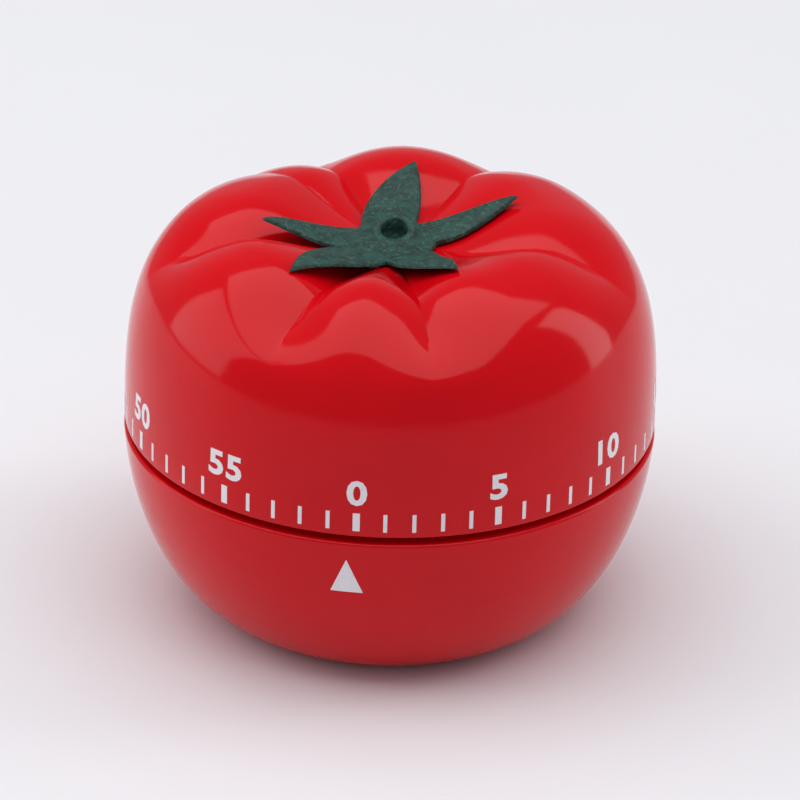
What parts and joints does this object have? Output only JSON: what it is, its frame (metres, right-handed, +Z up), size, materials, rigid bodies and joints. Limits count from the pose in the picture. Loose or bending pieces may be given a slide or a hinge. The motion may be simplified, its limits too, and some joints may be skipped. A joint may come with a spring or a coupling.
{
  "type": "kitchen timer",
  "caption": "Tomato-shaped mechanical kitchen timer: a lobed red dial with green leaves turns on a round base, over a spring movement with a bell.",
  "frame": {"origin": "centre of the underside, on the surface that the timer stands on", "axes": "+Z up along the dial's axis; -Y towards the pointer mark on the base, which is the front; +X to the right of it"},
  "size_m": [0.0698, 0.0698, 0.055],
  "materials": {
    "red_plastic": "polished moulded plastic",
    "green_plastic": "matte, finely speckled",
    "brass": "stamped and brushed",
    "steel": "turned",
    "spring_steel": "blued strip",
    "bell_steel": "nickel plated"
  },
  "bodies": {
    "case": {"lower_shell": "red_plastic", "mounting_screws": "steel", "lower_plate": "brass", "upper_plate": "brass", "frame_pillars": "steel", "plate_screws": "steel", "barrel_spacer": "brass", "release_spring": "steel", "bell": "bell_steel", "bell_post": "brass", "bell_screw": "steel"},
    "dial": {"upper_shell": "red_plastic", "calyx": "green_plastic", "main_shaft": "steel", "ratchet_wheel": "steel", "cam_disc": "brass"},
    "great_wheel": {"main_wheel": "brass", "click_pawls": "steel"},
    "second": {"second_arbor": "steel", "second_wheel": "brass"},
    "third": {"third_arbor": "steel", "third_wheel": "brass"},
    "escape": {"escape_arbor": "steel", "escape_wheel": "brass"},
    "pallet": {"pallet_arbor": "steel", "pallet_lever": "steel", "balance_bar": "brass"},
    "spring_barrel": {"barrel": "brass", "barrel_cover": "brass", "mainspring": "spring_steel"},
    "alarm_second": {"alarm_arbor": "steel", "alarm_wheel": "brass"},
    "star": {"star_arbor": "steel", "star_wheel": "brass"},
    "striker": {"hammer_arbor": "steel", "hammer_anchor": "steel", "hammer": "steel"},
    "release": {"release_lever": "steel"}
  },
  "joints": [
    {"name": "dial_turn", "type": "hinge", "parent": "case", "child": "dial", "pos_m": [0, 0, 0.03], "axis": [0, 0, -1], "range_deg": [0, 351]},
    {"name": "great_wheel_turn", "type": "hinge", "parent": "case", "child": "great_wheel", "pos_m": [0, 0, 0.0237], "axis": [0, 0, -1], "range_deg": [0, 351]},
    {"name": "second_wheel_turn", "type": "hinge", "parent": "case", "child": "second", "pos_m": [0.01579, 0.00575, 0.025], "axis": [0, 0, -1], "range_deg": [-2106, 0]},
    {"name": "third_wheel_turn", "type": "hinge", "parent": "case", "child": "third", "pos_m": [0.01035, 0.01473, 0.027], "axis": [0, 0, -1], "range_deg": [0, 12636]},
    {"name": "escape_wheel_turn", "type": "hinge", "parent": "case", "child": "escape", "pos_m": [0.00171, 0.01892, 0.029], "axis": [0, 0, -1], "range_deg": [-88452, 0]},
    {"name": "pallet_swing", "type": "hinge", "parent": "case", "child": "pallet", "pos_m": [-0.00567, 0.01761, 0.029], "axis": [0, 0, -1], "range_deg": [-3, 3]},
    {"name": "barrel_turn", "type": "hinge", "parent": "case", "child": "spring_barrel", "pos_m": [0, 0, 0.019], "axis": [0, 0, -1], "range_deg": [0, 60]},
    {"name": "alarm_wheel_turn", "type": "hinge", "parent": "case", "child": "alarm_second", "pos_m": [-0.01311, -0.00918, 0.016], "axis": [0, 0, -1], "range_deg": [-420, 0]},
    {"name": "star_wheel_turn", "type": "hinge", "parent": "case", "child": "star", "pos_m": [-0.00869, -0.01632, 0.018], "axis": [0, 0, -1], "range_deg": [0, 2520]},
    {"name": "hammer_swing", "type": "hinge", "parent": "case", "child": "striker", "pos_m": [-0.00299, -0.01876, 0.018], "axis": [0, 0, -1], "range_deg": [-5, 5]},
    {"name": "release_lever_turn", "type": "hinge", "parent": "case", "child": "release", "pos_m": [0.00616, -0.01691, 0.03], "axis": [0, 0, -1], "range_deg": [-7, 0]}
  ],
  "couplings": [
    {"joint": "great_wheel_turn", "follows": "dial_turn", "ratio": 1},
    {"joint": "second_wheel_turn", "follows": "dial_turn", "ratio": -6},
    {"joint": "third_wheel_turn", "follows": "dial_turn", "ratio": 36},
    {"joint": "escape_wheel_turn", "follows": "dial_turn", "ratio": -252},
    {"joint": "alarm_wheel_turn", "follows": "barrel_turn", "ratio": -7},
    {"joint": "star_wheel_turn", "follows": "barrel_turn", "ratio": 42}
  ]
}
